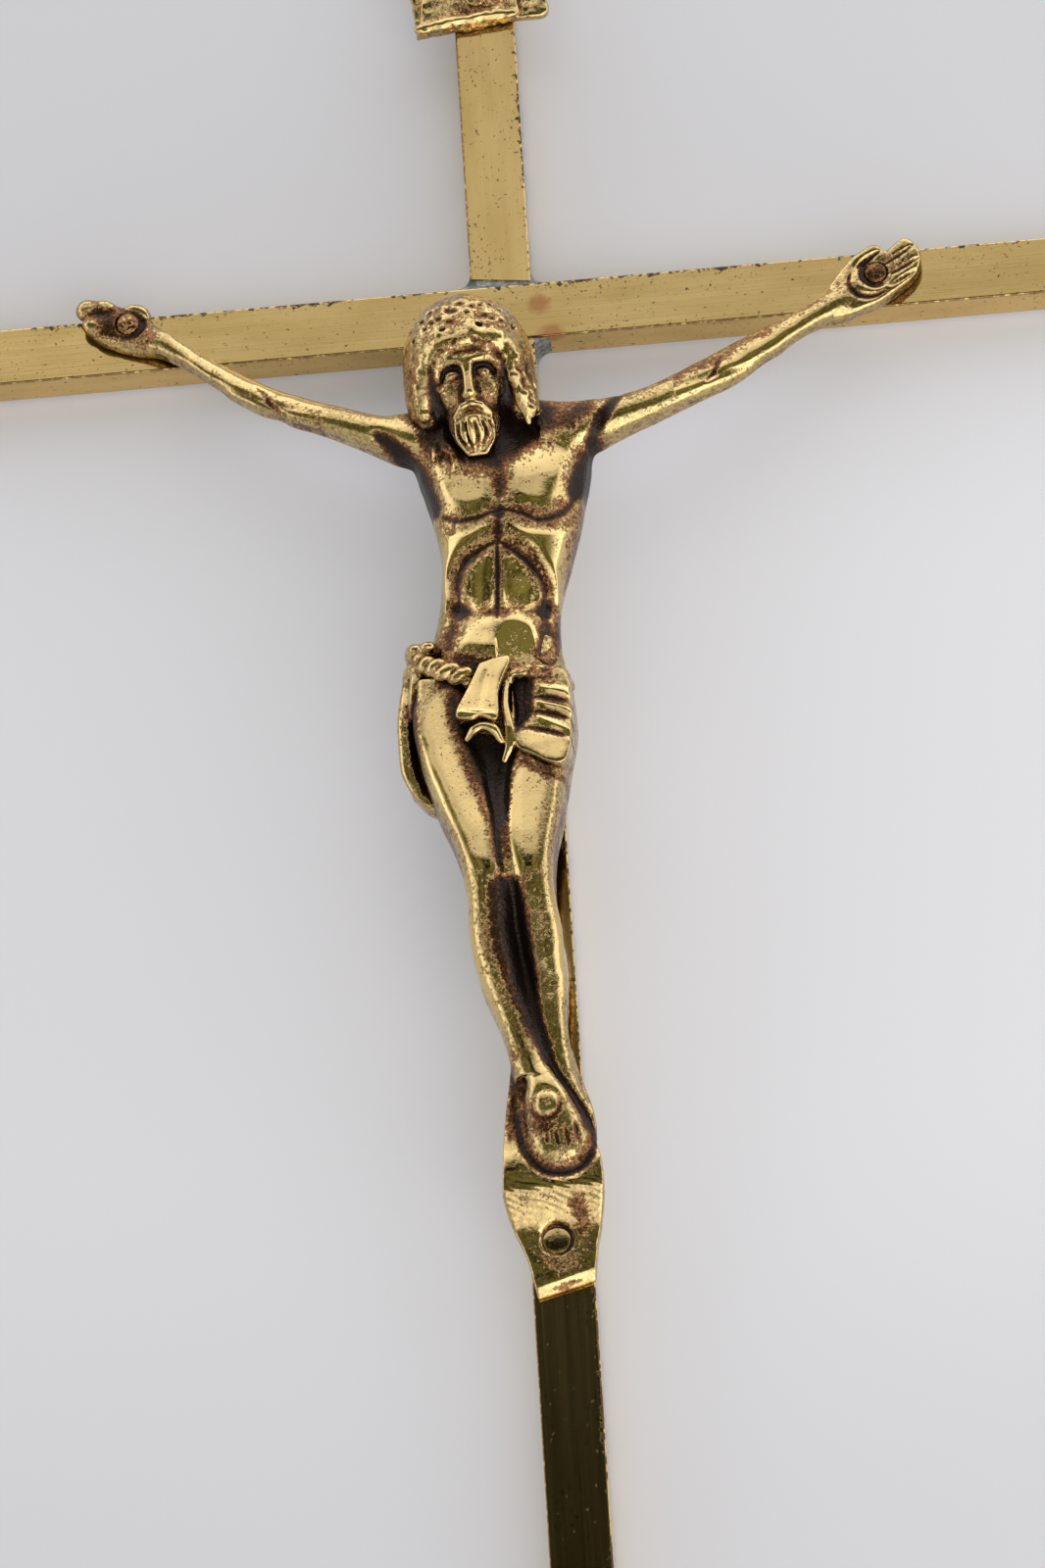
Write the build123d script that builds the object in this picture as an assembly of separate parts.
from build123d import *

import os
from collections import namedtuple
from math import asin, sin

# A brass wall crucifix. Two rectangular brass tubes are lapped into each other and soft soldered.
# A cast brass figure is riveted on through both palms and through a tab under its footrest, and a
# scroll-shaped title plate is riveted to the upper arm. Every tube end is closed by a brass plug.
#
# Working frame, in millimetres: X to the viewer's right, Z up, Y into the wall. The wall plane is
# Y = 0 and the front of the cross faces -Y. While the pieces are drawn, X = Z = 0 is the middle of
# the crossing, and "height" is the distance in front of the bars' front face. The finished pieces
# are shifted so that the origin is the middle of the hanging hole, on the wall plane.

# The two bars
bar_width = 9.525
bar_depth = 6.35
tube_wall = 0.8
edge_round = 0.3
upright_above = 70.0
upright_below = 235.0
crossbar_half = 95.25

# The lap joint and its solder
lap_clearance = 0.05
top_gap_left = 1.6
top_gap_right = 0.5
bottom_gap = 0.4
solder_recess = 0.25
solder_fillet_leg = 2.4

# End plugs
plug_flange = 1.2
plug_spigot = 4.0
plug_clearance = 0.05
plug_edge_round = 0.3

# Hanging hole in the back wall of the upper arm
hang_hole_radius = 2.5
hang_hole_margin = 1.3

# Rivets
rivet_radius = 1.2
rivet_hole_clearance = 0.05
tail_radius = 1.7
tail_depth = 0.5
hand_rivet_head_radius = 1.8
hand_rivet_head = 1.0
foot_rivet_head_radius = 2.1
foot_rivet_head = 1.0
title_rivet_head_radius = 1.6
title_rivet_head = 0.7
head_clearance = 0.15
rivet_wall_margin = 0.3

# Where the rivets stand, seen from the front
left_hand_x = -59.0
right_hand_x = 59.1
right_hand_z = -0.2
foot_rivet_x = -0.5
foot_rivet_z = -157.2
palm_height = 2.6

# Nail head cast on the instep
instep_nail_x = -0.3
instep_nail_z = -139.5
instep_nail_radius = 1.7
instep_nail_top = 11.1

# Title plate
title_width = 21.0
title_tall = 12.0
title_base = 1.5
title_panel = 0.9
title_rim = 0.8
title_rim_height = 0.5
title_tail = 4.5
title_tilt = 6.5
title_x = -1.0
title_z = 56.6
title_rivet_drop = 1.4
title_corner = 1.0

# Footrest and tab under the feet
rest_width = 14.4
rest_top_width = 9.6
rest_x = -0.6
rest_top_z = -129.0
rest_low_z = -150.0
rest_top_height = 2.0
rest_low_height = 4.4
rest_thickness = 3.0
tab_thickness = 2.2
tab_bend_z = -153.6
tab_flat_z = -156.0
tab_low_z = -166.0
tab_low_width = 8.2
tab_low_x = 0.4

# How far the arched front of a section rises: a share of its half width, and at most of its depth
arch_share = 0.9
arch_depth_share = 0.62

# The figure's forms: middle of each section seen from the front, half its width, and the heights of
# its flat back and of its crown
Station = namedtuple("Station", "x z half_width back front")

torso_stations = [
    Station(-3.0, -19.6, 4.2, 7.2, 9.8),
    Station(-1.4, -23.0, 8.4, 5.8, 10.6),
    Station(-0.9, -27.0, 12.2, 4.6, 11.8),
    Station(-0.9, -31.0, 13.4, 4.2, 13.2),
    Station(-0.7, -36.5, 12.2, 4.0, 14.8),
    Station(-0.9, -43.0, 10.9, 4.3, 15.2),
    Station(-1.9, -50.0, 9.6, 4.6, 14.4),
    Station(-3.2, -57.5, 9.5, 4.8, 14.0),
    Station(-4.3, -66.0, 10.7, 4.8, 14.2),
    Station(-4.5, -72.0, 11.1, 4.8, 14.0),
]
neck_stations = [
    Station(-2.4, -27.0, 5.0, 5.0, 13.4),
    Station(-3.6, -18.5, 4.6, 6.0, 14.4),
]
right_shoulder_stations = [
    Station(-4.0, -22.0, 3.1, 5.8, 11.4),
    Station(-11.0, -22.7, 2.8, 6.3, 11.7),
    Station(-18.0, -22.7, 2.2, 6.4, 10.6),
]
left_shoulder_stations = [
    Station(-1.0, -22.4, 3.1, 5.8, 11.4),
    Station(7.0, -23.4, 2.8, 6.3, 11.7),
    Station(14.6, -23.2, 2.2, 6.4, 10.6),
]
right_chest_stations = [
    Station(-8.0, -28.0, 4.6, 8.0, 13.3),
    Station(-7.3, -34.0, 5.3, 8.0, 15.3),
    Station(-6.5, -39.0, 4.5, 8.0, 16.2),
    Station(-6.3, -41.4, 3.0, 8.0, 15.4),
]
left_chest_stations = [
    Station(6.0, -27.6, 4.6, 8.0, 13.3),
    Station(5.4, -34.0, 5.1, 8.0, 15.3),
    Station(4.5, -39.4, 4.4, 8.0, 16.2),
    Station(4.3, -42.0, 3.0, 8.0, 15.4),
]
right_rib_stations = [
    Station(-6.6, -43.2, 3.4, 8.0, 15.6),
    Station(-8.8, -48.0, 2.8, 8.0, 14.6),
    Station(-10.2, -55.5, 1.8, 7.0, 12.6),
]
left_rib_stations = [
    Station(4.2, -43.8, 3.6, 8.0, 15.6),
    Station(5.1, -49.0, 2.6, 8.0, 14.4),
    Station(4.5, -56.0, 1.6, 7.0, 12.8),
]
belly_stations = [
    Station(-2.6, -47.6, 3.0, 9.0, 15.2),
    Station(-2.4, -53.0, 5.2, 9.0, 15.2),
    Station(-3.0, -60.0, 6.4, 9.0, 15.2),
    Station(-3.4, -66.4, 4.4, 9.0, 14.8),
]
hip_stations = [
    Station(-3.8, -61.0, 9.8, 4.8, 13.4),
    Station(-4.5, -68.0, 11.5, 4.6, 13.9),
    Station(-4.8, -77.0, 12.0, 4.6, 14.0),
    Station(-5.1, -84.0, 10.3, 5.0, 13.0),
]
right_rope_stations = [
    Station(-16.3, -63.4, 2.3, 6.0, 12.4),
    Station(-13.0, -66.4, 2.0, 9.0, 15.7),
    Station(-8.6, -68.7, 1.7, 10.0, 16.7),
    Station(-5.0, -69.2, 1.5, 10.0, 16.4),
]
left_rope_stations = [
    Station(-1.4, -69.0, 1.4, 10.0, 16.2),
    Station(2.6, -68.6, 1.4, 10.0, 16.0),
    Station(6.6, -68.9, 1.4, 6.0, 13.4),
]
flap_stations = [
    Station(-3.7, -66.9, 2.3, 11.0, 16.9),
    Station(-5.3, -71.6, 2.9, 11.0, 17.6),
    Station(-6.7, -77.6, 3.2, 11.0, 18.2),
]
curl_stations = [
    Station(-8.4, -80.2, 0.7, 12.0, 16.4),
    Station(-5.6, -78.8, 0.9, 12.0, 18.0),
    Station(-3.4, -79.6, 0.7, 12.0, 17.4),
]
strip_stations = [
    Station(-2.0, -69.4, 0.7, 11.0, 15.6),
    Station(-2.4, -76.0, 0.8, 11.0, 16.8),
    Station(-2.9, -83.6, 0.8, 11.0, 15.8),
]
hip_cloth_stations = [
    Station(3.2, -69.4, 4.5, 6.0, 14.9),
    Station(3.2, -76.0, 4.8, 6.0, 15.8),
    Station(2.8, -82.0, 4.4, 6.0, 16.2),
    Station(3.4, -85.6, 2.4, 8.0, 15.4),
]
drape_stations = [
    Station(-16.4, -65.4, 1.6, 4.6, 12.0),
    Station(-17.4, -71.0, 2.2, 4.4, 11.8),
    Station(-17.0, -78.0, 2.4, 4.4, 10.4),
    Station(-15.4, -86.8, 1.8, 4.6, 8.4),
]
right_leg_stations = [
    Station(-12.4, -68.0, 4.0, 4.8, 14.8),
    Station(-12.3, -76.0, 4.8, 4.8, 15.5),
    Station(-10.7, -83.0, 5.3, 4.9, 16.0),
    Station(-8.8, -90.0, 5.0, 5.2, 16.5),
    Station(-7.2, -97.0, 4.3, 5.7, 16.9),
    Station(-6.4, -104.0, 3.9, 5.8, 16.6),
    Station(-6.4, -111.0, 4.0, 4.9, 15.0),
    Station(-5.4, -118.0, 3.7, 3.9, 13.0),
    Station(-3.6, -125.0, 3.0, 3.2, 11.2),
    Station(-1.8, -132.0, 3.1, 2.9, 10.3),
]
left_leg_stations = [
    Station(2.3, -68.0, 5.2, 4.8, 14.8),
    Station(2.3, -76.0, 5.3, 4.8, 15.5),
    Station(1.6, -83.0, 5.2, 4.9, 16.0),
    Station(0.9, -90.0, 4.9, 5.2, 16.4),
    Station(0.4, -97.0, 4.4, 5.7, 16.8),
    Station(0.3, -104.0, 3.7, 5.8, 16.2),
    Station(0.4, -111.0, 3.6, 4.9, 14.2),
    Station(0.7, -118.0, 3.2, 3.9, 12.0),
    Station(0.8, -125.0, 2.6, 3.2, 9.8),
    Station(1.1, -132.0, 2.4, 2.9, 8.6),
]
right_arm_stations = [
    Station(-8.0, -26.6, 5.0, 5.6, 13.2),
    Station(-14.5, -25.6, 3.9, 6.2, 12.8),
    Station(-24.0, -21.7, 2.7, 5.8, 11.4),
    Station(-33.2, -17.0, 2.45, 4.6, 9.5),
    Station(-42.5, -10.9, 2.2, 2.9, 7.1),
    Station(-51.5, -3.2, 1.8, 1.0, 4.9),
    Station(-57.5, 1.3, 3.5, 0.0, 3.9),
    Station(-62.5, 4.2, 3.9, 0.0, 4.1),
    Station(-66.6, 6.6, 2.4, 0.2, 3.2),
]
left_arm_stations = [
    Station(5.6, -27.4, 5.0, 5.6, 13.2),
    Station(11.5, -25.8, 4.1, 6.2, 12.8),
    Station(20.0, -23.0, 2.9, 5.9, 11.5),
    Station(30.0, -18.4, 2.9, 4.7, 9.7),
    Station(40.9, -11.8, 2.7, 2.9, 7.0),
    Station(52.0, -5.1, 2.1, 0.8, 4.6),
    Station(57.0, -1.6, 3.9, 0.0, 3.8),
    Station(61.5, 1.0, 4.2, 0.0, 3.7),
    Station(66.0, 3.8, 2.8, 0.2, 3.0),
]
hair_stations = [
    Station(-3.8, -3.4, 3.6, 9.4, 15.2),
    Station(-4.5, -6.4, 7.6, 7.2, 19.4),
    Station(-4.7, -11.0, 9.6, 6.0, 21.8),
    Station(-4.6, -15.5, 10.1, 5.6, 21.0),
    Station(-4.5, -20.0, 10.0, 5.6, 18.0),
    Station(-4.4, -24.5, 8.8, 6.2, 16.6),
    Station(-4.2, -28.5, 6.4, 7.0, 15.0),
]
fringe_stations = [
    Station(-11.2, -21.5, 1.7, 11.0, 18.2),
    Station(-9.6, -16.0, 1.8, 11.0, 20.6),
    Station(-5.2, -12.8, 1.8, 11.0, 22.4),
    Station(-0.2, -14.6, 1.8, 11.0, 21.8),
    Station(2.4, -20.5, 1.7, 11.0, 18.8),
]
right_lock_stations = [
    Station(-12.2, -18.0, 2.0, 8.0, 17.0),
    Station(-12.4, -22.5, 2.1, 8.0, 16.6),
    Station(-11.6, -27.5, 1.5, 8.0, 14.8),
    Station(-10.6, -32.0, 0.9, 9.0, 15.2),
]
left_lock_stations = [
    Station(2.0, -17.0, 1.8, 8.0, 18.6),
    Station(3.6, -21.5, 2.0, 8.0, 17.6),
    Station(4.9, -26.8, 1.3, 7.0, 15.2),
]
face_stations = [
    Station(-4.6, -13.5, 4.0, 11.0, 20.4),
    Station(-4.6, -18.0, 5.2, 11.0, 21.2),
    Station(-4.5, -22.5, 5.0, 10.5, 20.6),
    Station(-4.3, -27.0, 4.1, 9.6, 19.0),
    Station(-4.1, -32.0, 2.2, 9.0, 15.8),
]
foot_stations = [
    Station(-0.6, -129.0, 2.9, 3.6, 10.4),
    Station(0.3, -135.0, 3.7, 3.8, 10.7),
    Station(0.9, -140.5, 4.7, 4.0, 10.2),
    Station(1.0, -145.5, 3.9, 4.6, 9.2),
    Station(0.9, -148.0, 1.9, 5.2, 7.6),
]
figure_stations = [
    torso_stations,
    neck_stations,
    right_shoulder_stations,
    left_shoulder_stations,
    right_chest_stations,
    left_chest_stations,
    right_rib_stations,
    left_rib_stations,
    belly_stations,
    hip_stations,
    right_rope_stations,
    left_rope_stations,
    flap_stations,
    curl_stations,
    strip_stations,
    hip_cloth_stations,
    drape_stations,
    right_leg_stations,
    left_leg_stations,
    right_arm_stations,
    left_arm_stations,
    hair_stations,
    fringe_stations,
    right_lock_stations,
    left_lock_stations,
    face_stations,
    foot_stations,
]

# Values that follow from the sizes above
hang_hole_height = upright_above - plug_flange - plug_spigot - hang_hole_margin - hang_hole_radius
rivet_hole_radius = rivet_radius + rivet_hole_clearance
tail_hole_radius = tail_radius + rivet_hole_clearance
bore_half_width = bar_width / 2 - tube_wall
left_hand_z = bore_half_width - rivet_hole_radius - rivet_wall_margin
foot_rivet_seat = tab_thickness - foot_rivet_head
title_seat = title_base + title_panel
title_rivet_z = title_z - title_rivet_drop
through_cut = bar_depth


def front_plane(height):
    """The plane parallel to the wall at a height in front of the bars' front face."""
    return Plane.XZ.offset(bar_depth + height)


def disc(x, z, radius, low, high):
    """A round slab that stands square to the wall between two heights."""
    return extrude(front_plane(low) * Pos(x, z) * Circle(radius), high - low)


def prism(points, low, high):
    """A slab with an outline drawn from the front, between two heights."""
    return extrude(front_plane(low) * make_face(Polyline(*points, close=True)), high - low)


def tube_section():
    """The rectangular tube's cross-section, width along X and depth along Y."""
    outside = RectangleRounded(bar_width, bar_depth, edge_round)
    return outside - Rectangle(bar_width - 2 * tube_wall, bar_depth - 2 * tube_wall)


def upright_plane(z):
    """A cross-section plane of the upright, looking up."""
    return Plane(origin=(0, -bar_depth / 2, z), x_dir=(1, 0, 0), z_dir=(0, 0, 1))


def crossbar_plane(x):
    """A cross-section plane of the crossbar, looking to the right."""
    return Plane(origin=(x, -bar_depth / 2, 0), x_dir=(0, 0, 1), z_dir=(1, 0, 0))


def rivet_hole(x, z):
    """The hole that a rivet needs through both walls, with a countersink at the back for its tail."""
    shank = disc(x, z, rivet_hole_radius, -bar_depth - through_cut, through_cut)
    countersink = Cone(
        bottom_radius=tail_hole_radius,
        top_radius=rivet_hole_radius,
        height=tail_depth,
        align=(Align.CENTER, Align.CENTER, Align.MIN),
    )
    return shank + Plane.XZ * Pos(x, z) * countersink


def upright_tube():
    """The long vertical tube, notched half through from the front for the crossbar."""
    low = -upright_below + plug_flange
    high = upright_above - plug_flange
    tube = extrude(upright_plane(low) * tube_section(), high - low)
    side = bar_width
    half = bar_width / 2
    notch = [
        (-side, -half - bottom_gap),
        (side, -half - bottom_gap),
        (side, half + notch_gap(side)),
        (-side, half + notch_gap(-side)),
    ]
    tube -= prism(notch, -bar_depth / 2, through_cut)
    tube -= rivet_hole(foot_rivet_x, foot_rivet_z)
    tube -= rivet_hole(title_x, title_rivet_z)
    tube -= disc(0, hang_hole_height, hang_hole_radius, -bar_depth - through_cut, -bar_depth / 2)
    return tube


def notch_gap(x):
    """How far the notch's upper edge stands above the crossbar: a wedge, wider at the left."""
    share = (x + bar_width / 2) / bar_width
    return top_gap_left + (top_gap_right - top_gap_left) * share


def crossbar_tube():
    """The horizontal tube, notched half through from the back for the upright."""
    reach = crossbar_half - plug_flange
    tube = extrude(crossbar_plane(-reach) * tube_section(), 2 * reach)
    side = bar_width / 2 + lap_clearance
    tall = bar_width
    notch = [(-side, -tall), (side, -tall), (side, tall), (-side, tall)]
    tube -= prism(notch, -bar_depth - through_cut, -bar_depth / 2 + lap_clearance)
    tube -= rivet_hole(left_hand_x, left_hand_z)
    tube -= rivet_hole(right_hand_x, right_hand_z)
    return tube


def end_plug(plane):
    """A stopper for a tube end: a flange as large as the tube and a spigot that goes inside.

    The plane lies on the tube's end and looks outwards."""
    flange = extrude(plane * RectangleRounded(bar_width, bar_depth, edge_round), plug_flange)
    rim = flange.faces().sort_by(Axis(plane.origin, plane.z_dir))[-1].edges()
    flange = fillet(rim, plug_edge_round)
    inset = 2 * (tube_wall + plug_clearance)
    spigot = extrude(plane * Rectangle(bar_width - inset, bar_depth - inset), -plug_spigot)
    return flange + spigot


def top_plug():
    return end_plug(upright_plane(upright_above - plug_flange))


def foot_plug():
    end = upright_plane(-upright_below + plug_flange)
    return end_plug(Plane(origin=end.origin, x_dir=end.x_dir, z_dir=-end.z_dir))


def right_plug():
    return end_plug(crossbar_plane(crossbar_half - plug_flange))


def left_plug():
    end = crossbar_plane(-crossbar_half + plug_flange)
    return end_plug(Plane(origin=end.origin, x_dir=end.x_dir, z_dir=-end.z_dir))


def solder_top_seam():
    """Solder that fills the wedge between the crossbar and the notch's upper edge."""
    half = bar_width / 2
    wedge = [(-half, half), (half, half), (half, half + top_gap_right), (-half, half + top_gap_left)]
    return prism(wedge, -bar_depth / 2, -solder_recess)


def solder_bottom_seam():
    """Solder in the narrow gap under the crossbar."""
    half = bar_width / 2
    strip = [(-half, -half - bottom_gap), (half, -half - bottom_gap), (half, -half), (-half, -half)]
    return prism(strip, -bar_depth / 2, -solder_recess)


def solder_corner_fillets():
    """Four hollow fillets of solder in the inside corners where the bars cross."""
    half = bar_width / 2
    leg = solder_fillet_leg
    bulge = leg * (1 - 0.5**0.5)
    fillets = []
    for side in (-1, 1):
        for level in (-1, 1):
            corner = (side * half, level * half)
            along = (side * (half + leg), level * half)
            hollow = (side * (half + bulge), level * (half + bulge))
            up = (side * half, level * (half + leg))
            outline = Line(corner, along) + ThreePointArc(along, hollow, up) + Line(up, corner)
            low = front_plane(-bar_depth + edge_round)
            fillets.append(extrude(low * make_face(outline), bar_depth - 2 * edge_round))
    return Compound(children=fillets)


def form(stations):
    """One rounded form of the figure: a smooth loft through flat-backed sections."""
    faces = []
    for index, station in enumerate(stations):
        before = stations[max(index - 1, 0)]
        after = stations[min(index + 1, len(stations) - 1)]
        along = Vector(after.x - before.x, 0, after.z - before.z).normalized()
        across = Vector(-along.Z, 0, along.X)
        middle = (station.x, -bar_depth, station.z)
        faces.append(Plane(origin=middle, x_dir=across, z_dir=along) * flat_backed(station))
    return loft(faces)


def flat_backed(station):
    """A section with a flat back, straight sides and a front arched in two equal arcs."""
    half = station.half_width
    rise = min(arch_share * half, arch_depth_share * (station.front - station.back))
    side = station.front - rise
    radius = (half**2 + rise**2) / (2 * rise)
    shoulder = radius * sin(asin(half / radius) / 2)
    shoulder_height = station.front - radius + (radius**2 - shoulder**2) ** 0.5
    low_left, low_right = (-half, station.back), (half, station.back)
    high_left, high_right = (-half, side), (half, side)
    crown = (0, station.front)
    outline = Line(low_left, low_right) + Line(low_right, high_right)
    outline += ThreePointArc(high_right, (shoulder, shoulder_height), crown)
    outline += ThreePointArc(crown, (-shoulder, shoulder_height), high_left)
    outline += Line(high_left, low_left)
    return make_face(outline)


def footrest():
    """The plate behind the feet and, below it, the tab that bends back to the bar for its rivet."""
    profile = [
        (rest_top_height, rest_top_z),
        (rest_low_height, rest_low_z),
        (0, tab_flat_z),
        (0, tab_low_z),
        (tab_thickness, tab_low_z),
        (tab_thickness, tab_flat_z),
        (rest_low_height + tab_thickness, tab_bend_z),
        (rest_low_height + rest_thickness, rest_low_z),
        (rest_top_height + rest_thickness, rest_top_z),
    ]
    reach = 2 * rest_width
    side_view = Plane(origin=(reach, -bar_depth, 0), x_dir=(0, -1, 0), z_dir=(-1, 0, 0))
    plate = extrude(side_view * make_face(Polyline(*profile, close=True)), 2 * reach)
    outline = [
        (rest_x - rest_top_width / 2, rest_top_z),
        (rest_x - rest_width / 2, rest_low_z),
        (rest_x - rest_width / 2, tab_bend_z),
        (tab_low_x - tab_low_width / 2, tab_low_z),
        (tab_low_x + tab_low_width / 2, tab_low_z),
        (rest_x + rest_width / 2, tab_bend_z),
        (rest_x + rest_width / 2, rest_low_z),
        (rest_x + rest_top_width / 2, rest_top_z),
    ]
    return plate & prism(outline, -through_cut, rest_low_height + 2 * rest_thickness)


def corpus():
    """The cast figure in one piece with its footrest and tab, drilled for its three rivets."""
    figure = footrest()
    for stations in figure_stations:
        figure += form(stations)
    figure += disc(instep_nail_x, instep_nail_z, instep_nail_radius, rest_low_height, instep_nail_top)
    behind_front_face = Box(2 * crossbar_half, bar_depth, 2 * upright_below)
    figure -= Pos(0, -bar_depth / 2, 0) * behind_front_face
    seat = hand_rivet_head_radius + head_clearance
    for x, z in ((left_hand_x, left_hand_z), (right_hand_x, right_hand_z)):
        figure -= disc(x, z, rivet_hole_radius, -through_cut, through_cut)
        figure -= disc(x, z, seat, palm_height, palm_height + through_cut)
    sunk = foot_rivet_head_radius + head_clearance
    figure -= disc(foot_rivet_x, foot_rivet_z, rivet_hole_radius, -through_cut, through_cut)
    figure -= disc(foot_rivet_x, foot_rivet_z, sunk, foot_rivet_seat, foot_rivet_seat + through_cut)
    return figure


def rivet(x, z, seat, head_radius, head):
    """A solid rivet: a flat head on its seat, a shank through both walls and a tail set flush."""
    body = disc(x, z, rivet_radius, -bar_depth, seat)
    body += disc(x, z, head_radius, seat, seat + head)
    tail = Cone(
        bottom_radius=tail_radius,
        top_radius=rivet_radius,
        height=tail_depth,
        align=(Align.CENTER, Align.CENTER, Align.MIN),
    )
    return body + Plane.XZ * Pos(x, z) * tail


def left_hand_rivet():
    return rivet(left_hand_x, left_hand_z, palm_height, hand_rivet_head_radius, hand_rivet_head)


def right_hand_rivet():
    return rivet(right_hand_x, right_hand_z, palm_height, hand_rivet_head_radius, hand_rivet_head)


def foot_rivet():
    return rivet(foot_rivet_x, foot_rivet_z, foot_rivet_seat, foot_rivet_head_radius, foot_rivet_head)


def title_rivet():
    return rivet(title_x, title_rivet_z, title_seat, title_rivet_head_radius, title_rivet_head)


def title_plate():
    """A bare scroll: a base plate, a raised panel with a rim, and a tail that shows at each end."""
    place = Pos(title_x, title_z) * Rot(0, 0, title_tilt)
    base = RectangleRounded(title_width, title_tall, title_corner)
    plate = extrude(front_plane(0) * place * base, title_base)
    panel_width = title_width - title_tail
    shift = title_tail / 2
    half_tall = title_tall / 2
    corners = [
        (-panel_width / 2 - shift, -half_tall),
        (panel_width / 2 - shift, -half_tall),
        (panel_width / 2 + shift, half_tall),
        (-panel_width / 2 + shift, half_tall),
    ]
    outline = make_face(Polyline(*corners, close=True))
    rim = outline - offset(outline, -title_rim)
    plate += extrude(front_plane(title_base) * place * outline, title_panel)
    plate += extrude(front_plane(title_seat) * place * rim, title_rim_height)
    return plate - disc(title_x, title_rivet_z, rivet_hole_radius, -through_cut, through_cut)


pieces = {
    "upright_tube": upright_tube,
    "crossbar_tube": crossbar_tube,
    "top_plug": top_plug,
    "foot_plug": foot_plug,
    "left_plug": left_plug,
    "right_plug": right_plug,
    "solder_top_seam": solder_top_seam,
    "solder_bottom_seam": solder_bottom_seam,
    "solder_corner_fillets": solder_corner_fillets,
    "corpus": corpus,
    "left_hand_rivet": left_hand_rivet,
    "right_hand_rivet": right_hand_rivet,
    "foot_rivet": foot_rivet,
    "title_plate": title_plate,
    "title_rivet": title_rivet,
}

os.makedirs("parts", exist_ok=True)
for name, make in pieces.items():
    piece = Pos(0, 0, -hang_hole_height) * make()
    solids = piece.solids()
    volume = sum(solid.volume for solid in solids)
    print(f"{name}: {len(solids)} solid(s), {volume:.1f} mm3, valid {all(s.is_valid for s in solids)}")
    export_step(piece, f"parts/{name}.step")
